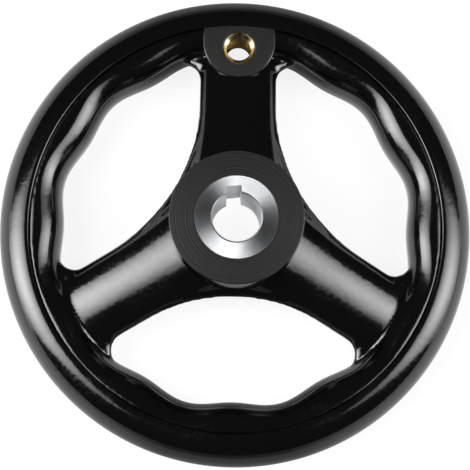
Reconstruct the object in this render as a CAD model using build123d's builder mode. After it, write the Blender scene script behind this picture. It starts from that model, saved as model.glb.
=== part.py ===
from build123d import *
import os
from math import cos, pi, radians, sin, sqrt, tan

os.makedirs("parts", exist_ok=True)

# Three-spoke machine handwheel with a finger-grip rim, millimetres, +Z up.
# The wheel lies on the front of its rim with the hub's machine side up. The hub axis is Z,
# Z = 0 is the plane that the rim rests on, and the spoke that carries the handle points along +Y.

# Rim
wheel_diameter = 160.0
rim_height = 20.0
bead_width = 10.0
bead_lip = 0.7
crease_drop = 1.0
crease_bevel = 0.6

# Finger grip on the inside of the rim
grip_width = 9.8
grip_wave = 1.1
finger_pitch = 31.2
grip_flat = 1.8
grip_land = 0.3
points_per_wave = 2

# Spokes
spoke_count = 3
spoke_width = 26.4
spoke_thickness = 10.6
spoke_top_at_rim = 17.1
web_margin = 2.4
corner_radius = 6.0
corner_turn = 80.0
side_sections = 6
corner_sections = 4

# Hub and its steel bush
hub_diameter = 44.0
hub_draft = 1.0
hub_edge_bevel = 0.5
hub_face_height = 36.5
hub_stand = 10.5
hub_front_stand = 1.0
hub_front_diameter = 38.0
bush_diameter = 27.6
bush_waist_flats = 23.0
bush_waist_length = 8.0
bore_diameter = 16.0
bore_chamfer = 0.5
keyway_width = 5.0
keyway_depth = 2.3
keyway_turn = 6.5

# Handle boss and its brass insert
boss_diameter = 24.6
boss_inset = 5.8
boss_edge_bevel = 0.3
boss_stand = 0.3
boss_seat_height = 2.5
seat_diameter = 22.0
insert_inset = 7.7
insert_diameter = 11.8
insert_waist_diameter = 10.4
insert_waist_length = 5.0
thread_core_diameter = 8.5
thread_chamfer = 1.0

rim_radius = wheel_diameter / 2
rim_middle = rim_height / 2
bead_crest_radius = rim_radius - bead_width
crease_radius = bead_crest_radius - bead_lip
grip_radius = crease_radius - grip_width
grip_height = rim_height - crease_drop
grip_round = min((grip_height - grip_flat) / 2, grip_width - grip_wave - grip_land)
hollow_radius = grip_radius + grip_wave
waves_per_spoke = max(1, round(2 * pi * grip_radius / (finger_pitch * spoke_count)))
grip_count = spoke_count * waves_per_spoke
boss_height = grip_height + boss_stand
boss_along = crease_radius - boss_inset
insert_along = crease_radius - insert_inset
web_radius = hub_diameter / 2 + web_margin
spoke_top_at_hub = hub_face_height - hub_stand
hub_bottom = spoke_top_at_hub - spoke_thickness - hub_front_stand
hub_length = hub_face_height - hub_bottom
handle_angle = 90.0


def grip_point(angle):
    """Inner edge of the finger grip: a bump towards the axis at every spoke."""
    radius = grip_radius - grip_wave * cos(radians(grip_count * (angle - handle_angle)))
    return (radius * cos(radians(angle)), radius * sin(radians(angle)))


# A spoke's side runs parallel to the spoke and turns, on one large arc, past the hub
# into the side of the next spoke. The arc's centre lies midway between the two spokes.
half_gap = radians(180.0 / spoke_count)
side_centre = (web_radius - spoke_width / 2) / (1 - sin(half_gap))
side_radius = side_centre - web_radius
side_centre_along = side_centre * cos(half_gap)
side_centre_across = side_centre * sin(half_gap)

# At the rim the side flares out on the corner arc, which is tangent to the side and to the
# circle through the hollows of the grip.
corner_centre = hollow_radius - corner_radius
corner_across = spoke_width / 2 + corner_radius
corner_along = sqrt(corner_centre**2 - corner_across**2)


def spoke_half_width(along):
    """Half the spoke's width at a distance from the hub axis."""
    if along < side_centre_along:
        return side_centre_across - sqrt(side_radius**2 - (side_centre_along - along) ** 2)
    if along > corner_along:
        return corner_across - sqrt(corner_radius**2 - (along - corner_along) ** 2)
    return spoke_width / 2


def spoke_middle(along):
    """Height of the middle of the spoke: level at the hub, falling to the rim."""
    fall = (spoke_top_at_hub - spoke_top_at_rim) / (grip_radius - web_radius)
    return spoke_top_at_hub - fall * max(0.0, along - web_radius) - spoke_thickness / 2


def spoke_plane(along):
    """Plane across the spoke, centred on the middle of its thickness."""
    return Plane(origin=(0, along, spoke_middle(along)), x_dir=(1, 0, 0), z_dir=(0, 1, 0))


# The loft's sections: from inside the hub to the corner, then round the corner until the rim
# covers the rest of it
spoke_start = bore_diameter / 2
spoke_end = (crease_radius + grip_radius) / 2
side_run = corner_along - spoke_start
side_stations = [spoke_start + side_run * step / side_sections for step in range(side_sections + 1)]
corner_stations = [
    corner_along + corner_radius * sin(radians(corner_turn * (step + 1) / corner_sections))
    for step in range(corner_sections)
]

# Steel bush, waisted to a hexagon inside the moulding so that it can't turn or slip
with BuildPart() as bush:
    with BuildSketch(Plane.XY.offset(hub_bottom)):
        Circle(bush_diameter / 2)
    extrude(amount=hub_length)
    waist_bottom = hub_bottom + (hub_length - bush_waist_length) / 2
    with BuildSketch(Plane.XY.offset(waist_bottom)):
        Circle(bush_diameter)
        RegularPolygon(bush_waist_flats / 2, 6, major_radius=False, mode=Mode.SUBTRACT)
    extrude(amount=bush_waist_length, mode=Mode.SUBTRACT)
    bush_blank = bush.part
    with BuildSketch(Plane.XY.offset(hub_bottom)):
        Circle(bore_diameter / 2)
    extrude(amount=hub_length, mode=Mode.SUBTRACT)
    bore_rims = bush.edges().filter_by(GeomType.CIRCLE).filter_by(
        lambda edge: abs(edge.radius - bore_diameter / 2) < 0.01
    )
    chamfer(bore_rims, bore_chamfer)
    with BuildSketch(Plane.XY.offset(hub_bottom)):
        with Locations(Rotation(0, 0, handle_angle + keyway_turn)):
            Rectangle(
                bore_diameter / 2 + keyway_depth,
                keyway_width,
                align=(Align.MIN, Align.CENTER),
            )
    extrude(amount=hub_length, mode=Mode.SUBTRACT)
bush.part.label = "hub_bush"

# Brass insert that takes the handle's screw, open at both ends
with BuildPart() as insert:
    insert_length = boss_height - boss_seat_height
    with BuildSketch(Plane.XY.offset(boss_seat_height)):
        with Locations((0, insert_along)):
            Circle(insert_diameter / 2)
    extrude(amount=insert_length)
    groove_bottom = boss_seat_height + (insert_length - insert_waist_length) / 2
    with BuildSketch(Plane.XY.offset(groove_bottom)):
        with Locations((0, insert_along)):
            Circle(insert_diameter)
            Circle(insert_waist_diameter / 2, mode=Mode.SUBTRACT)
    extrude(amount=insert_waist_length, mode=Mode.SUBTRACT)
    insert_blank = insert.part
    with BuildSketch(Plane.XY.offset(boss_seat_height)):
        with Locations((0, insert_along)):
            Circle(thread_core_diameter / 2)
    extrude(amount=insert_length, mode=Mode.SUBTRACT)
    core_rims = insert.edges().filter_by(GeomType.CIRCLE).filter_by(
        lambda edge: abs(edge.radius - thread_core_diameter / 2) < 0.01
    )
    chamfer(core_rims, thread_chamfer)
insert.part.label = "handle_insert"

# One spoke along +Y, lofted through oval sections from inside the hub to inside the rim
with BuildPart() as spoke:
    for along in side_stations + corner_stations:
        with BuildSketch(spoke_plane(along)):
            Ellipse(spoke_half_width(along), spoke_thickness / 2)
    loft()
    # From there it runs on straight, inside the rim
    flare_start = corner_stations[-1]
    for along in (flare_start, spoke_end):
        with BuildSketch(spoke_plane(along)):
            Ellipse(spoke_half_width(flare_start), spoke_thickness / 2)
    loft(ruled=True)
    # Its share of the web round the hub ends midway to the next spoke on either side
    sector_x = wheel_diameter * sin(half_gap)
    sector_y = wheel_diameter * cos(half_gap)
    with BuildSketch():
        Polygon(
            (0, 0),
            (sector_x, sector_y),
            (0, wheel_diameter),
            (-sector_x, sector_y),
            align=None,
        )
    extrude(amount=hub_face_height, mode=Mode.INTERSECT)

# Boss round the insert, ending inside the bead
with BuildPart() as boss:
    with BuildSketch(Plane.XY.offset(boss_seat_height)):
        with Locations((0, boss_along)):
            Circle(boss_diameter / 2)
        Circle(bead_crest_radius, mode=Mode.INTERSECT)
    extrude(amount=boss_height - boss_seat_height)
    chamfer(boss.edges().group_by(Axis.Z)[-1], boss_edge_bevel)

# Wheel body, one moulding
with BuildPart() as body:
    # Grip: a ring with a wavy inner edge, rounded over on both sides
    with BuildSketch():
        Circle(crease_radius)
        with BuildLine():
            wave_points = [
                grip_point(360.0 * step / (grip_count * points_per_wave))
                for step in range(grip_count * points_per_wave)
            ]
            Spline(*wave_points, periodic=True)
        make_face(mode=Mode.SUBTRACT)
    extrude(amount=grip_height)
    grip_edges = body.edges().filter_by(GeomType.BSPLINE)
    fillet(grip_edges, grip_round)

    # Bead: the round outer half of the rim, a step higher than the grip
    with BuildSketch(Plane.XZ) as bead_section:
        with BuildLine():
            Line((crease_radius, 0), (bead_crest_radius, 0))
            EllipticalCenterArc(
                (bead_crest_radius, rim_middle),
                rim_radius - bead_crest_radius,
                rim_middle,
                start_angle=-90,
                arc_size=180,
            )
            Line((bead_crest_radius, rim_height), (crease_radius, rim_height))
            Line((crease_radius, rim_height), (crease_radius, 0))
        make_face()
        crease_corner = bead_section.vertices().group_by(Axis.X)[0].sort_by(Axis.Y)[-1]
        chamfer(crease_corner, crease_bevel)
    revolve(axis=Axis.Z)

    # Hub: a drafted wall with a bevelled edge, from inside the web up to the machined face
    hub_radius = hub_diameter / 2
    hub_wall_height = hub_face_height - spoke_middle(0)
    with BuildSketch(Plane.XZ):
        Polygon(
            (0, spoke_middle(0)),
            (hub_radius + hub_wall_height * tan(radians(hub_draft)), spoke_middle(0)),
            (hub_radius, hub_face_height - hub_edge_bevel),
            (hub_radius - hub_edge_bevel, hub_face_height),
            (0, hub_face_height),
            align=None,
        )
    revolve(axis=Axis.Z)
    with BuildSketch(Plane.XY.offset(hub_bottom)):
        Circle(hub_front_diameter / 2)
    extrude(amount=spoke_middle(0) - hub_bottom)

    # Spokes
    with PolarLocations(0, spoke_count):
        add(spoke.part)

    # Handle boss
    add(boss.part)

    # Flat seat on the front for the handle's shoulder
    with BuildSketch():
        with Locations((0, insert_along)):
            Circle(seat_diameter / 2)
    extrude(amount=boss_seat_height, mode=Mode.SUBTRACT)

    # Pockets that the bush and the insert are moulded into
    add(bush_blank, mode=Mode.SUBTRACT)
    add(insert_blank, mode=Mode.SUBTRACT)
body.part.label = "wheel_body"

export_step(body.part, "parts/wheel_body.step")
export_step(bush.part, "parts/hub_bush.step")
export_step(insert.part, "parts/handle_insert.step")
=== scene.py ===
# %% [markdown]
# A machine handwheel, moulded in glossy black phenolic plastic, lies on its front with the
# back of its hub up. The solids come from the CAD model, and they are loaded first, because
# every new piece has to lie where its solid is.

# %% Load the CAD frame
from math import atan2, cos, hypot, pi, radians, sin, sqrt, tan

import bmesh
import bpy
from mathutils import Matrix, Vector


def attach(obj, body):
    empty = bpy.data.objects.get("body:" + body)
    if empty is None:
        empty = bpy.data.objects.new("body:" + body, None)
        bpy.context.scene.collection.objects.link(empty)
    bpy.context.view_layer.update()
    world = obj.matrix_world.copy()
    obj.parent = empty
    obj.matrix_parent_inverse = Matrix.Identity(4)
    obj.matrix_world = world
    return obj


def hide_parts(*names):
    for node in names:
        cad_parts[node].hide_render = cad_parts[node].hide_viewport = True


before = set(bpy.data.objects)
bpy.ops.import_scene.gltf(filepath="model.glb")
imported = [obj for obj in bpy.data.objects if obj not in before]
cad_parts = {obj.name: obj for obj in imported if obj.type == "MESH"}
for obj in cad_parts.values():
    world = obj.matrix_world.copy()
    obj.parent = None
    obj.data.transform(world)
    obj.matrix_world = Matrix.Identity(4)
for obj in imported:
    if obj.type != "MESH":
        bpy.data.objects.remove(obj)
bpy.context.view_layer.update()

# %% [markdown]
# Blender counts in metres and the wheel's drawing in millimetres, so each size is written in
# millimetres, as on the drawing, and multiplied by mm where it is used.

# %% Sizes of the wheel
mm = 0.001
bead_middle_radius, bead_round, crease_radius = 70.0, 10.0, 69.3
grip_radius, grip_height, grip_wave, grip_round = 59.5, 19.0, 1.1, 8.6
waves, spokes = 12, 3
spoke_width, spoke_thickness, web_thickness = 26.4, 10.6, 6.8
web_radius, corner_radius = 24.4, 6.0
spoke_top_at_hub, spoke_top_at_grip = 26.0, 17.1
hub_radius, hub_face, hub_bottom, hub_front_radius = 22.0, 36.5, 14.4, 19.0
bush_radius, bore_radius, keyway_width, keyway_depth, keyway_turn = 13.8, 8.0, 5.0, 2.3, 96.5
boss_y, boss_radius, boss_top = 63.5, 12.3, 19.3
insert_y, insert_radius, seat_radius, seat_height = 61.6, 5.9, 11.0, 2.5
thread_major_radius, thread_core_radius, thread_pitch = 5.0, 4.25, 1.5
# A cutter reaches past both ends of what it cuts by this much
past_ends = 5
print("rim diameter", 2 * (bead_middle_radius + bead_round), "mm")

# %% [markdown]
# Most of the steps below work on a few vertices of one piece. By hand they would be picked with
# the mouse; here they are picked by their place.


# %% Picking and finishing
def add_piece(name, primitive, **settings):
    """Adds one primitive, puts its place in its mesh and opens it in edit mode."""
    bpy.ops.object.select_all(action="DESELECT")
    primitive(**settings)
    piece = bpy.context.object
    piece.name = piece.data.name = name
    bpy.ops.object.transform_apply(location=True, rotation=True, scale=True)
    bpy.ops.object.mode_set(mode="EDIT")
    return piece


def pick(piece, test):
    """Selects the vertices whose place, in millimetres, passes the test, and nothing else."""
    bpy.ops.mesh.select_mode(type="VERT")
    bpy.ops.mesh.select_all(action="DESELECT")
    mesh = bmesh.from_edit_mesh(piece.data)
    for vertex in mesh.verts:
        if test(vertex.co / mm):
            vertex.select_set(True)
    mesh.select_flush_mode()
    bmesh.update_edit_mesh(piece.data)


def close_piece(piece, merge=0.002):
    """Merges doubled vertices, turns the faces outwards and leaves edit mode."""
    bpy.ops.mesh.select_all(action="SELECT")
    bpy.ops.mesh.remove_doubles(threshold=merge * mm)
    bpy.ops.mesh.normals_make_consistent(inside=False)
    bpy.ops.object.mode_set(mode="OBJECT")
    print(piece.name, len(piece.data.polygons), "faces")


def smooth_piece(piece, angle=30):
    """Shades the piece smooth, apart from edges sharper than the angle."""
    bpy.ops.object.select_all(action="DESELECT")
    piece.select_set(True)
    bpy.context.view_layer.objects.active = piece
    bpy.ops.object.shade_smooth_by_angle(angle=radians(angle))


def apply_modifier(piece, kind, **settings):
    """Adds one modifier, sets it and applies it."""
    bpy.ops.object.select_all(action="DESELECT")
    piece.select_set(True)
    bpy.context.view_layer.objects.active = piece
    modifier = piece.modifiers.new(kind.lower(), kind)
    for key, value in settings.items():
        setattr(modifier, key, value)
    bpy.ops.object.modifier_apply(modifier=modifier.name)


# %% [markdown]
# The outer half of the rim is a round bead that the palm closes over. Its section is a circle
# whose inner side is cut off straight where the finger grip begins, and the cut's upper corner
# is the lip beside the crease. One circle is flattened on that side and spun about the axis.

# %% Rim bead
lip_rounding = 0.35
on_the_cut = crease_radius + 0.01
near_the_top = 2 * bead_round - 0.3
rim_bead = add_piece(
    "rim_bead",
    bpy.ops.mesh.primitive_circle_add,
    vertices=72,
    radius=bead_round * mm,
    location=(bead_middle_radius * mm, 0, bead_round * mm),
    rotation=(pi / 2, 0, 0),
)
pick(rim_bead, lambda place: place.x < crease_radius)
bpy.ops.transform.resize(value=(0, 1, 1), center_override=(crease_radius * mm, 0, 0))
pick(rim_bead, lambda place: place.x < on_the_cut and place.z > near_the_top)
bpy.ops.mesh.merge(type="CENTER")
pick(rim_bead, lambda place: place.x < on_the_cut and place.z > near_the_top)
bpy.ops.mesh.bevel(offset=lip_rounding * mm, segments=4, affect="VERTICES")
bpy.ops.mesh.select_all(action="SELECT")
bpy.ops.mesh.spin(steps=240, angle=2 * pi, center=(0, 0, 0), axis=(0, 0, 1))
close_piece(rim_bead)
smooth_piece(rim_bead, 50)

# %% [markdown]
# Inside the crease lies the finger grip, a flatter ring whose inner edge swells towards the
# fingers twelve times. One wave is enough: its section is an upright oblong with two large
# roundings, which is spun through a twelfth of a turn. The rings of vertices that this leaves
# are then moved in and out, and the finished wave is copied round the axis.

# %% Finger grip
# The grip runs a little way into the bead
grip_outside = crease_radius + 0.3
moulding = add_piece(
    "wheel_moulding",
    bpy.ops.mesh.primitive_plane_add,
    size=1,
    location=((grip_radius + grip_outside) / 2 * mm, 0, grip_height / 2 * mm),
    rotation=(pi / 2, 0, 0),
)
bpy.ops.mesh.select_all(action="SELECT")
bpy.ops.transform.resize(
    value=((grip_outside - grip_radius) * mm, 1, grip_height * mm),
    center_override=((grip_radius + grip_outside) / 2 * mm, 0, grip_height / 2 * mm),
)
pick(moulding, lambda place: place.x < grip_radius + 0.1)
bpy.ops.mesh.bevel(offset=grip_round * mm, segments=20, affect="VERTICES")
bpy.ops.mesh.delete(type="ONLY_FACE")
bpy.ops.mesh.select_all(action="SELECT")
wave_steps = 20
bpy.ops.mesh.spin(steps=wave_steps, angle=2 * pi / waves, center=(0, 0, 0), axis=(0, 0, 1))
for step in range(wave_steps + 1):
    turn = -2 * pi / waves * step / wave_steps
    shift = -grip_wave * cos(waves * turn) * mm
    pick(
        moulding,
        lambda place: abs(atan2(place.y, place.x) - turn) < 0.001
        and hypot(place.x, place.y) < crease_radius,
    )
    bpy.ops.transform.translate(value=(shift * cos(turn), shift * sin(turn), 0))
bpy.ops.mesh.select_all(action="SELECT")
bpy.ops.mesh.spin(
    steps=waves - 1,
    dupli=True,
    angle=2 * pi * (waves - 1) / waves,
    center=(0, 0, 0),
    axis=(0, 0, 1),
)
close_piece(moulding)

# %% [markdown]
# A spoke is oval in section and keeps nearly the same width all the way, so that a lamp shows on
# it as one straight band. It falls from the hub to the rim, which makes the wheel dished. A
# thinner web runs inside it and carries the outline: it turns into the next web on a large arc
# round the hub, and flares on a small arc at the rim. Both are one oval that is extruded
# outwards section by section and resized each time, and both are copied twice.

# %% Outline of the spokes
swell_share = 0.4
half_gap = pi / spokes
side_centre = (web_radius - spoke_width / 2) / (1 - sin(half_gap))
side_arc = side_centre - web_radius
side_along, side_across = side_centre * cos(half_gap), side_centre * sin(half_gap)
corner_across = spoke_width / 2 + corner_radius
corner_along = sqrt((grip_radius + grip_wave - corner_radius) ** 2 - corner_across**2)


def web_half_width(along):
    """Half the web's width at a distance from the hub's axis."""
    if along < side_along:
        return side_across - sqrt(side_arc**2 - (side_along - along) ** 2)
    if along > corner_along:
        turn = min(along - corner_along, corner_radius)
        return corner_across - sqrt(corner_radius**2 - turn**2)
    return spoke_width / 2


def oval_half_width(along):
    """Half the spoke's own width, which swells a little where the webs meet round the hub."""
    swell = web_half_width(min(along, side_along)) - spoke_width / 2
    return spoke_width / 2 + swell_share * swell


def web_middle(along):
    """Height of the middle of the web, which is level round the hub."""
    return spoke_middle(max(along, web_radius))


def spoke_middle(along):
    """Height of the middle of the spoke."""
    fall = (spoke_top_at_hub - spoke_top_at_grip) / (grip_radius - web_radius)
    return spoke_top_at_hub - fall * (along - web_radius) - spoke_thickness / 2


print("webs turn into one another within", round(side_along, 1), "mm of the axis")
print("and flare at the rim from", round(corner_along, 1), "mm on")


# %% Spokes and webs
def add_ovals(name, stations, half_width, middle, thickness):
    """A bar along +Y through oval sections at the stations, copied round the axis."""
    bar = add_piece(
        name,
        bpy.ops.mesh.primitive_circle_add,
        vertices=64,
        radius=1,
        location=(0, stations[0] * mm, middle(stations[0]) * mm),
        rotation=(pi / 2, 0, 0),
    )
    bpy.ops.mesh.select_all(action="SELECT")
    bpy.ops.transform.resize(
        value=(half_width(stations[0]) * mm, 1, thickness / 2 * mm),
        center_override=(0, stations[0] * mm, middle(stations[0]) * mm),
    )
    for last, along in zip(stations, stations[1:]):
        rise = middle(along) - middle(last)
        bpy.ops.mesh.extrude_edges_move(
            TRANSFORM_OT_translate={"value": (0, (along - last) * mm, rise * mm)}
        )
        bpy.ops.transform.resize(
            value=(half_width(along) / half_width(last), 1, 1),
            center_override=(0, along * mm, middle(along) * mm),
        )
    bpy.ops.mesh.select_all(action="SELECT")
    bpy.ops.mesh.fill_holes(sides=0)
    bpy.ops.mesh.select_all(action="SELECT")
    bpy.ops.mesh.spin(
        steps=spokes - 1,
        dupli=True,
        angle=2 * pi * (spokes - 1) / spokes,
        center=(0, 0, 0),
        axis=(0, 0, 1),
    )
    close_piece(bar)
    return bar


# Each end of a spoke or web is hidden in the hub, the webs beside it or the finger grip
inside_hub, inside_rim = 2, 66


def stations_between(first, last, steps):
    """Evenly spaced stations from the first to the last."""
    return [first + (last - first) * step / steps for step in range(steps + 1)]


spoke_stations = stations_between(inside_hub, side_along, 12) + [inside_rim]
spoke = add_ovals("spoke", spoke_stations, oval_half_width, spoke_middle, spoke_thickness)
web_stations = stations_between(inside_hub, corner_along, 30)
corner_turns = [9 * step for step in range(1, 11)]
web_stations += [corner_along + corner_radius * sin(radians(turn)) for turn in corner_turns]
web_stations.append(inside_rim)
web = add_ovals("web", web_stations, web_half_width, web_middle, web_thickness)

# %% [markdown]
# On the front the hub stands out as a low disc. It is the end of a core that fills the hub.

# %% Hub core
core_top = hub_face - 6
core = add_piece(
    "hub_core",
    bpy.ops.mesh.primitive_cylinder_add,
    vertices=160,
    radius=hub_front_radius * mm,
    depth=(core_top - hub_bottom) * mm,
    location=(0, 0, (core_top + hub_bottom) / 2 * mm),
)
close_piece(core)

# %% [markdown]
# On the real wheel all of this is one moulding, with a small hollow rounding wherever one form
# runs into another. Grip, spokes, webs and core are joined, and the voxel remesher wraps them in
# one skin, whose corners a few rounds of smoothing turn into such roundings. Smaller voxels would
# take the piece past 200,000 triangles.

# %% Fuse the moulding
bpy.ops.object.select_all(action="DESELECT")
for part in (moulding, spoke, web, core):
    part.select_set(True)
bpy.context.view_layer.objects.active = moulding
bpy.ops.object.join()
apply_modifier(moulding, "REMESH", mode="VOXEL", voxel_size=0.67 * mm, use_smooth_shade=True)
apply_modifier(moulding, "SMOOTH", factor=0.5, iterations=13)
print("moulding", len(moulding.data.polygons), "faces")

# %% [markdown]
# The bush and the insert are moulded in. Their pockets, and the flat seat for the handle on the
# front, are cut with plain drums.


# %% Cut the pockets
def cut_drum(piece, radius, place_y, low, high):
    """Cuts a round hole with an upright axis, sizes in millimetres."""
    drum = add_piece(
        "drum",
        bpy.ops.mesh.primitive_cylinder_add,
        vertices=180,
        radius=radius * mm,
        depth=(high - low) * mm,
        location=(0, place_y * mm, (high + low) / 2 * mm),
    )
    bpy.ops.object.mode_set(mode="OBJECT")
    apply_modifier(piece, "BOOLEAN", operation="DIFFERENCE", solver="EXACT", object=drum)
    bpy.data.objects.remove(drum)


cut_drum(moulding, bush_radius, 0, hub_bottom - past_ends, hub_face + past_ends)
cut_drum(moulding, insert_radius, insert_y, seat_height - past_ends, boss_top + past_ends)
cut_drum(moulding, seat_radius, insert_y, -past_ends, seat_height)

# The cuts leave a few many-sided faces, which are split here so that no sliver folds over
# when the mesh is exported
bpy.ops.object.mode_set(mode="EDIT")
bpy.ops.mesh.select_mode(type="FACE")
bpy.ops.mesh.select_all(action="DESELECT")
bpy.ops.mesh.select_face_by_sides(number=4, type="GREATER")
bpy.ops.mesh.quads_convert_to_tris(ngon_method="BEAUTY")
close_piece(moulding)
smooth_piece(moulding, 40)

# %% [markdown]
# At the back the hub is a short drum with a little draft, so that it leaves the mould. Its end
# is faced, which leaves a crisp bevelled edge, so it stays a piece of its own.

# %% Hub drum
hub_foot = web_middle(0)
hub_foot_radius = hub_radius + (hub_face - hub_foot) * tan(radians(1))
hub = add_piece(
    "hub_drum",
    bpy.ops.mesh.primitive_cylinder_add,
    vertices=240,
    radius=hub_radius * mm,
    depth=(hub_face - hub_foot) * mm,
    location=(0, 0, (hub_face + hub_foot) / 2 * mm),
)
pick(hub, lambda place: place.z < hub_foot + 1)
bpy.ops.transform.resize(
    value=(hub_foot_radius / hub_radius, hub_foot_radius / hub_radius, 1),
    center_override=(0, 0, 0),
)
pick(hub, lambda place: place.z > hub_face - 0.01)
bpy.ops.mesh.bevel(offset=0.4 * mm, segments=6, affect="EDGES")
close_piece(hub)
cut_drum(hub, bush_radius, 0, hub_bottom - past_ends, hub_face + past_ends)
smooth_piece(hub, 12)

# %% [markdown]
# Round the insert the moulding stands a little proud as a flat boss, a half round whose straight
# sides run on to the crease. Half of a drum is kept and its cut side is drawn out until it is
# hidden in the bead.

# %% Handle boss
boss = add_piece(
    "handle_boss",
    bpy.ops.mesh.primitive_cylinder_add,
    vertices=200,
    radius=boss_radius * mm,
    depth=(boss_top - seat_height) * mm,
    location=(0, boss_y * mm, (boss_top + seat_height) / 2 * mm),
)
bpy.ops.mesh.select_all(action="SELECT")
bpy.ops.mesh.bisect(
    plane_co=(0, boss_y * mm, 0), plane_no=(0, 1, 0), clear_outer=True, use_fill=True
)
pick(boss, lambda place: place.y > boss_y - 0.001)
bpy.ops.transform.translate(value=(0, (bead_middle_radius - boss_y) * mm, 0))
pick(boss, lambda place: place.z > boss_top - 0.01)
bpy.ops.mesh.bevel(offset=0.5 * mm, segments=6, affect="EDGES")
close_piece(boss)
cut_drum(boss, insert_radius, insert_y, seat_height - past_ends, boss_top + past_ends)
smooth_piece(boss, 12)

# %% [markdown]
# The steel bush is turned from bar: a sleeve with bevelled ends, spun from its section. The
# keyway is broached right through it, a little to one side of the handle's spoke.

# %% Hub bush
bush_middle = (hub_face + hub_bottom) / 2
bush = add_piece(
    "hub_bush_turned",
    bpy.ops.mesh.primitive_plane_add,
    size=1,
    location=((bore_radius + bush_radius) / 2 * mm, 0, bush_middle * mm),
    rotation=(pi / 2, 0, 0),
)
bpy.ops.mesh.select_all(action="SELECT")
bpy.ops.transform.resize(
    value=((bush_radius - bore_radius) * mm, 1, (hub_face - hub_bottom) * mm),
    center_override=((bore_radius + bush_radius) / 2 * mm, 0, bush_middle * mm),
)
pick(bush, lambda place: place.x < bore_radius + 0.1)
bpy.ops.mesh.bevel(offset=0.5 * mm, segments=1, affect="VERTICES")
pick(bush, lambda place: place.x > bush_radius - 0.1)
bpy.ops.mesh.bevel(offset=0.2 * mm, segments=1, affect="VERTICES")
bpy.ops.mesh.select_all(action="SELECT")
bpy.ops.mesh.delete(type="ONLY_FACE")
bpy.ops.mesh.select_all(action="SELECT")
bpy.ops.mesh.spin(steps=180, angle=2 * pi, center=(0, 0, 0), axis=(0, 0, 1))
close_piece(bush)

key_length = bore_radius + keyway_depth
key_height = hub_face - hub_bottom + 2 * past_ends
cutter = add_piece(
    "key",
    bpy.ops.mesh.primitive_cube_add,
    size=1,
    location=(key_length / 2 * mm, 0, bush_middle * mm),
    scale=(key_length * mm, keyway_width * mm, key_height * mm),
)
bpy.ops.mesh.select_all(action="SELECT")
# In Blender's background mode this operator turns clockwise, hence the minus sign
bpy.ops.transform.rotate(
    value=radians(-keyway_turn), orient_axis="Z", center_override=(0, 0, 0)
)
bpy.ops.object.mode_set(mode="OBJECT")
apply_modifier(bush, "BOOLEAN", operation="DIFFERENCE", solver="EXACT", object=cutter)
bpy.data.objects.remove(cutter)
smooth_piece(bush, 30)

# %% [markdown]
# The brass insert is a sleeve too, with an M10 thread cut into it. The sleeve is spun at the
# thread's outer diameter, and the thread's ridge is one small triangle that the Screw modifier
# winds up the bore.

# %% Handle insert
insert_middle = (boss_top + seat_height) / 2
insert = add_piece(
    "handle_insert_sleeve",
    bpy.ops.mesh.primitive_plane_add,
    size=1,
    location=((thread_major_radius + insert_radius) / 2 * mm, 0, insert_middle * mm),
    rotation=(pi / 2, 0, 0),
)
bpy.ops.mesh.select_all(action="SELECT")
bpy.ops.transform.resize(
    value=((insert_radius - thread_major_radius) * mm, 1, (boss_top - seat_height) * mm),
    center_override=((thread_major_radius + insert_radius) / 2 * mm, 0, insert_middle * mm),
)
pick(insert, lambda place: place.x < thread_major_radius + 0.1)
bpy.ops.mesh.bevel(offset=0.3 * mm, segments=1, affect="VERTICES")
bpy.ops.mesh.select_all(action="SELECT")
bpy.ops.mesh.delete(type="ONLY_FACE")
bpy.ops.mesh.select_all(action="SELECT")
bpy.ops.mesh.spin(steps=120, angle=2 * pi, center=(0, 0, 0), axis=(0, 0, 1))
bpy.ops.mesh.select_all(action="SELECT")
bpy.ops.transform.translate(value=(0, insert_y * mm, 0))
close_piece(insert)
smooth_piece(insert, 30)

# The ridge's section: a triangle that points at the axis, 1.5 times as high as the radius of
# the circle through its corners. Its foot is sunk a little into the sleeve, and a narrow
# groove is left between one turn and the next.
ridge_sunk = 0.05
ridge_share = 0.92
ridge_radius = (thread_major_radius + ridge_sunk - thread_core_radius) / 1.5
ridge_x = thread_core_radius + ridge_radius
thread = add_piece(
    "handle_insert_thread",
    bpy.ops.mesh.primitive_circle_add,
    vertices=3,
    radius=ridge_radius * mm,
    location=(ridge_x * mm, 0, (seat_height + thread_pitch) * mm),
    rotation=(pi / 2, -pi / 2, 0),
)
bpy.ops.mesh.select_all(action="SELECT")
bpy.ops.transform.resize(
    value=(1, 1, ridge_share * thread_pitch / (sqrt(3) * ridge_radius)),
    center_override=(ridge_x * mm, 0, (seat_height + thread_pitch) * mm),
)
bpy.ops.object.mode_set(mode="OBJECT")
apply_modifier(
    thread,
    "SCREW",
    axis="Z",
    angle=2 * pi,
    screw_offset=thread_pitch * mm,
    iterations=10,
    steps=60,
    render_steps=60,
    use_smooth_shade=True,
)
bpy.ops.object.mode_set(mode="EDIT")
bpy.ops.mesh.select_all(action="SELECT")
bpy.ops.transform.translate(value=(0, insert_y * mm, 0))
bpy.ops.mesh.fill_holes(sides=0)
close_piece(thread)
smooth_piece(thread, 30)

# %% [markdown]
# Each finish starts from what the material is and how its surface was made.


# %% Material helpers
def linear(colour):
    """An sRGB hex colour as the linear values that a shader takes."""
    channels = [int(colour[i : i + 2], 16) / 255 for i in (1, 3, 5)]
    return tuple(
        [c / 12.92 if c <= 0.04045 else ((c + 0.055) / 1.055) ** 2.4 for c in channels] + [1.0]
    )


def add_node(tree, kind, links=None, **settings):
    """Adds a node. Settings name its properties or sockets; links name sockets and sources."""
    made = tree.nodes.new(kind)
    for key, value in settings.items():
        if hasattr(made, key):
            setattr(made, key, value)
        else:
            made.inputs[key.replace("_", " ")].default_value = value
    for socket, source in (links or {}).items():
        tree.links.new(source, made.inputs[socket])
    return made


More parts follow.
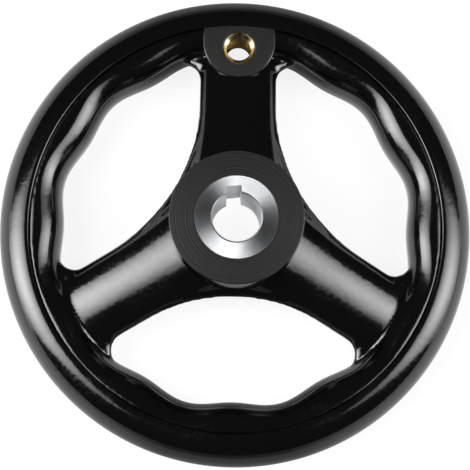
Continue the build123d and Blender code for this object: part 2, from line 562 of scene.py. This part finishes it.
def new_material(name):
    """A material with a Principled shader; returns its tree and Object coordinates too."""
    material = bpy.data.materials.new(name)
    material.use_nodes = True
    tree = material.node_tree
    tree.nodes.clear()
    shader = add_node(tree, "ShaderNodeBsdfPrincipled")
    add_node(tree, "ShaderNodeOutputMaterial", {"Surface": shader.outputs["BSDF"]})
    place = add_node(tree, "ShaderNodeTexCoord").outputs["Object"]
    return material, tree, shader, place


def add_noise(tree, place, size, low, high):
    """Noise with patches about as wide as the size in millimetres, from low to high."""
    noise = add_node(tree, "ShaderNodeTexNoise", {"Vector": place}, Scale=1 / (size * mm))
    spread = add_node(
        tree,
        "ShaderNodeMapRange",
        {"Value": noise.outputs["Fac"]},
        From_Min=0.35,
        From_Max=0.65,
        To_Min=low,
        To_Max=high,
    )
    return spread.outputs[0]


def add_rings(tree, place, period, centre_y):
    """Uneven turned rings, about period millimetres apart, round an upright axis at centre_y."""
    moved = add_node(tree, "ShaderNodeMapping", {"Vector": place}, Location=(0, -centre_y * mm, 0))
    moved.inputs["Scale"].default_value = (1, 1, 0)
    radius = add_node(tree, "ShaderNodeVectorMath", {0: moved.outputs[0]}, operation="LENGTH")
    rings = add_node(
        tree,
        "ShaderNodeTexNoise",
        {"W": radius.outputs["Value"]},
        noise_dimensions="1D",
        Scale=1 / (period * mm),
        Detail=3.0,
    )
    return rings.outputs["Fac"]


def add_bump(tree, height, depth, normal=None):
    """A bump whose full height is the depth in millimetres."""
    links = {"Height": height}
    if normal:
        links["Normal"] = normal
    return add_node(tree, "ShaderNodeBump", links, Strength=1.0, Distance=depth * mm).outputs[0]


# %% [markdown]
# The plastic comes out of a polished mould with a high gloss. It isn't quite flat, though: a
# slow ripple and a fine orange peel break up the edges of each reflection, and rubbed patches
# dull it. The hub's end and the boss are faced after moulding, which cuts through the gloss
# and leaves them matt and greyer, with rings. Turned rings are usually closer and shallower:
# here they are drawn coarse and deep enough to show.


# %% Phenolic plastic
def phenolic_material(name, faced_height, ring_y, ring_period):
    """Black phenolic, glossy below faced_height and turned matt above it, in millimetres."""
    material, tree, shader, place = new_material(name)
    height = add_node(tree, "ShaderNodeSeparateXYZ", {"Vector": place}).outputs["Z"]
    faced = add_node(
        tree,
        "ShaderNodeMapRange",
        {"Value": height},
        From_Min=(faced_height - 0.05) * mm,
        From_Max=faced_height * mm,
    ).outputs[0]
    colour = add_node(
        tree,
        "ShaderNodeMixRGB",
        {"Fac": faced},
        Color1=linear("#060607"),
        Color2=linear("#161618"),
    )
    # Rubbed patches: a wide noise says where, a fine one breaks them up
    rubbed = add_node(
        tree,
        "ShaderNodeMath",
        {0: add_noise(tree, place, 16, 0, 1), 1: add_noise(tree, place, 1.2, 0, 1)},
        operation="MULTIPLY",
    )
    gloss = add_node(
        tree, "ShaderNodeMapRange", {"Value": rubbed.outputs[0]}, To_Min=0.09, To_Max=0.2
    )
    roughness = add_node(
        tree,
        "ShaderNodeMapRange",
        {"Value": faced, "To Min": gloss.outputs[0]},
        To_Max=0.5,
    )
    # A cut surface scatters more of the light than it mirrors
    sheen = add_node(tree, "ShaderNodeMapRange", {"Value": faced}, To_Min=0.5, To_Max=0.2)
    rings = add_node(
        tree,
        "ShaderNodeMath",
        {0: faced, 1: add_rings(tree, place, ring_period, ring_y)},
        operation="MULTIPLY",
    )
    ripple = add_bump(tree, add_noise(tree, place, 7, 0, 1), 0.02)
    peel = add_bump(tree, add_noise(tree, place, 1.4, 0, 1), 0.004, ripple)
    surface = add_bump(tree, rings.outputs[0], 0.12, peel)
    tree.links.new(sheen.outputs[0], shader.inputs["Specular IOR Level"])
    tree.links.new(colour.outputs[0], shader.inputs["Base Color"])
    tree.links.new(roughness.outputs[0], shader.inputs["Roughness"])
    tree.links.new(surface, shader.inputs["Normal"])
    # Phenolic resin bends light more than most plastics, so its reflections are bright. The
    # value is fitted to the photograph.
    shader.inputs["IOR"].default_value = 1.7
    print(name, len(tree.nodes), "nodes")
    return material


# Polished black: the lamps show as long bright bands with soft, slightly ragged edges, and the
# hub's end is faced to a dull grey with rings that catch the light
polished = phenolic_material("polished_phenolic", hub_face, 0, 0.6)
# Faced black: a dull dark grey flat between glossy moulded sides
faced = phenolic_material("faced_phenolic", boss_top, insert_y, 1.6)

# %% [markdown]
# Both metals are bare. The steel bush's end was faced and then brushed, so it draws each lamp
# out into a fan, bright in some directions from the bore and dark in others. That is a shader
# whose roughness is much greater along one direction, and the direction turns round the axis.
# How far it leans from the turned rings isn't known: it is set so that the fans lie where the
# photograph has them. The brass is smoother and warmer, with stains that vary its colour.


# %% Metals
def bare_metal(name, colour, stain, low, high):
    """A bare metal: its clean and its stained colour, and its lowest and highest roughness."""
    material, tree, shader, place = new_material(name)
    mixed = add_node(
        tree,
        "ShaderNodeMixRGB",
        {"Fac": add_noise(tree, place, 4, 0, 1)},
        Color1=linear(colour),
        Color2=linear(stain),
    )
    tree.links.new(mixed.outputs[0], shader.inputs["Base Color"])
    tree.links.new(add_noise(tree, place, 2.5, low, high), shader.inputs["Roughness"])
    shader.inputs["Metallic"].default_value = 1.0
    return material, tree, shader, place


# Brushed steel: a cool light grey with fans of light on its end face
steel, tree, shader, place = bare_metal("brushed_steel", "#cfd1d3", "#c6c8ca", 0.38, 0.42)
around = add_node(tree, "ShaderNodeVectorMath", {0: place}, operation="CROSS_PRODUCT")
around.inputs[1].default_value = (0, 0, 1)
tree.links.new(around.outputs[0], shader.inputs["Tangent"])
shader.inputs["Anisotropic"].default_value = 0.9
shader.inputs["Anisotropic Rotation"].default_value = 20 / 360
scratches = add_bump(tree, add_rings(tree, place, 0.5, 0), 0.02)
tree.links.new(scratches, shader.inputs["Normal"])
# Machined brass: a pale yellow with small hard highlights
brass, tree, shader, place = bare_metal("machined_brass", "#efe2c2", "#c2aa78", 0.12, 0.24)
tool_marks = add_bump(tree, add_rings(tree, place, 0.5, insert_y), 0.02)
tree.links.new(tool_marks, shader.inputs["Normal"])
print("materials:", [material.name for material in bpy.data.materials])

# %% [markdown]
# Every new piece now stands in for the solid that it was modelled over. It rides on the wheel's
# one body, gets the same material as the solid and hides the solid, which keeps its shape for the
# physics. The hidden solids get the same materials.

# %% Put the pieces in place of their solids
dressed = [
    (rim_bead, "wheel_body", "body", polished),
    (moulding, "wheel_body", "body", polished),
    (hub, "wheel_body", "body", polished),
    (boss, "wheel_body", "body", faced),
    (bush, "hub_bush", "bush", steel),
    (insert, "handle_insert", "insert", brass),
    (thread, "handle_insert", "insert", brass),
]
for piece, solid, slot, material in dressed:
    piece.data.materials.clear()
    piece.data.materials.append(material)
    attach(piece, "root")
    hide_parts(solid)
for solid, material in (("wheel_body", polished), ("hub_bush", steel), ("handle_insert", brass)):
    for index in range(len(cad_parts[solid].material_slots)):
        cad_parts[solid].material_slots[index].material = material
print("pieces in place:", [piece.name for piece, _, _, _ in dressed])

# %% [markdown]
# The wheel lies on a sheet of white paper that rises into a low wall a long way off. The camera
# and shiny surfaces see the paper lit, and it still takes the wheel's shadow. Above it the
# studio is dark, which keeps the plastic black between the bands of light. A plain sheet would
# mirror as brightly all round. Here it is mirrored less brightly where it lies above or below
# the wheel in the picture, which is fitted to the dark stretches on the photographed rim.

# %% Floor and backdrop
paper = bpy.data.materials.new("white_paper")
paper.use_nodes = True
tree = paper.node_tree
tree.nodes.clear()
path = add_node(tree, "ShaderNodeLightPath")
direct = add_node(
    tree,
    "ShaderNodeMath",
    {0: path.outputs["Is Camera Ray"], 1: path.outputs["Is Transmission Ray"]},
    operation="MAXIMUM",
)
# Painted light: the paper glows more in the wheel's gloss the further sideways it lies, a painted
# pool of lamp light
place = add_node(tree, "ShaderNodeTexCoord").outputs["Object"]
way = add_node(tree, "ShaderNodeVectorMath", {0: place}, operation="NORMALIZE")
aside = add_node(tree, "ShaderNodeSeparateXYZ", {"Vector": way.outputs[0]}).outputs["X"]
beside = add_node(tree, "ShaderNodeMath", {0: aside}, operation="ABSOLUTE")
painted_lamp_glow = add_node(
    tree,
    "ShaderNodeMapRange",
    {"Value": beside.outputs[0]},
    From_Min=0.3,
    From_Max=0.9,
    To_Min=0.15,
    To_Max=1.0,
)
# Only glossy rays see this painted pool of lamp light on the paper
mirrored = add_node(
    tree,
    "ShaderNodeMath",
    {0: path.outputs["Is Glossy Ray"], 1: painted_lamp_glow.outputs[0]},
    operation="MULTIPLY",
)
lift = add_node(
    tree,
    "ShaderNodeMapRange",
    {"Value": direct.outputs[0], "To Min": mirrored.outputs[0]},
    To_Max=0.86,
)
glow = add_node(tree, "ShaderNodeEmission", {"Strength": lift.outputs[0]})
matt = add_node(tree, "ShaderNodeBsdfDiffuse", Color=linear("#7c7c7c"))
both = add_node(tree, "ShaderNodeAddShader", {0: glow.outputs[0], 1: matt.outputs[0]})
add_node(tree, "ShaderNodeOutputMaterial", {"Surface": both.outputs[0]})

bpy.ops.object.select_all(action="DESELECT")
bpy.ops.mesh.primitive_plane_add(size=24)
floor = bpy.context.object
floor.name = "floor"
bpy.ops.mesh.primitive_cylinder_add(
    vertices=96, radius=11.9, depth=3, location=(0, 0, 1.5), end_fill_type="NOTHING"
)
backdrop = bpy.context.object
backdrop.name = "backdrop"
for sheet in (floor, backdrop):
    sheet.data.materials.append(paper)

world = bpy.data.worlds.new("studio")
bpy.context.scene.world = world
world.use_nodes = True
world.node_tree.nodes["Background"].inputs["Color"].default_value = (0.03, 0.03, 0.03, 1)
print("staged:", floor.name, backdrop.name)

# %% [markdown]
# Two softboxes hang left and right of the wheel, the left one brighter. Like real ones they are
# brightest in the middle and fade towards their edges. Their places, sizes and strengths are
# fitted to the bands of light on the rim and the spokes.


# %% Lamps
def add_softbox(name, turn, height, distance, width, tall, radiance):
    """A rectangular softbox that faces the wheel; turn and height are in degrees."""
    lamp = bpy.data.lights.new(name, "AREA")
    lamp.shape = "RECTANGLE"
    lamp.size, lamp.size_y = width, tall
    lamp.energy = radiance * pi * width * tall
    lamp.use_nodes = True
    tree = lamp.node_tree
    tree.nodes.clear()
    across = add_node(tree, "ShaderNodeNewGeometry").outputs["Parametric"]
    centred = add_node(tree, "ShaderNodeVectorMath", {0: across}, operation="SUBTRACT")
    centred.inputs[1].default_value = (0.5, 0.5, 0)
    offset = add_node(tree, "ShaderNodeVectorMath", {0: centred.outputs[0]}, operation="LENGTH")
    fade = add_node(
        tree,
        "ShaderNodeMapRange",
        {"Value": offset.outputs["Value"]},
        From_Min=0.08,
        From_Max=0.55,
        To_Min=1.0,
        To_Max=0.15,
    )
    glow = add_node(tree, "ShaderNodeEmission", {"Strength": fade.outputs[0]})
    add_node(tree, "ShaderNodeOutputLight", {"Surface": glow.outputs[0]})
    holder = bpy.data.objects.new(name, lamp)
    bpy.context.scene.collection.objects.link(holder)
    place = Vector(
        (
            distance * cos(radians(height)) * cos(radians(turn)),
            distance * cos(radians(height)) * sin(radians(turn)),
            distance * sin(radians(height)),
        )
    )
    holder.location = place
    holder.rotation_euler = place.to_track_quat("Z", "Y").to_euler()
    print(name, "at", [round(value, 2) for value in place])


add_softbox(
    "softbox_left", turn=184, height=43, distance=1.5, width=0.97, tall=1.90, radiance=10.5
)
add_softbox(
    "softbox_right", turn=356, height=42, distance=1.5, width=0.90, tall=1.80, radiance=8.0
)

# %% [markdown]
# The camera looks down at the wheel from half a metre up, tilted by nine degrees. Its place is
# in millimetres and its turn about X, Y and Z in degrees, both fitted to the photograph.

# %% Camera
camera_place = (-7.611, -81.554, 503.248)
camera_turn = (9.180101, -1.04575, 1.056483)
camera = bpy.data.cameras.new("camera")
camera.sensor_width = 36
camera.lens = 112.27
camera.clip_start, camera.clip_end = 0.01, 20
eye = bpy.data.objects.new("camera", camera)
bpy.context.scene.collection.objects.link(eye)
eye.location = Vector(camera_place) * mm
eye.rotation_euler = [radians(angle) for angle in camera_turn]
bpy.context.scene.camera = eye
bpy.context.scene.view_settings.view_transform = "Standard"
print("camera at", camera_place, "mm, turned", camera_turn, "degrees")
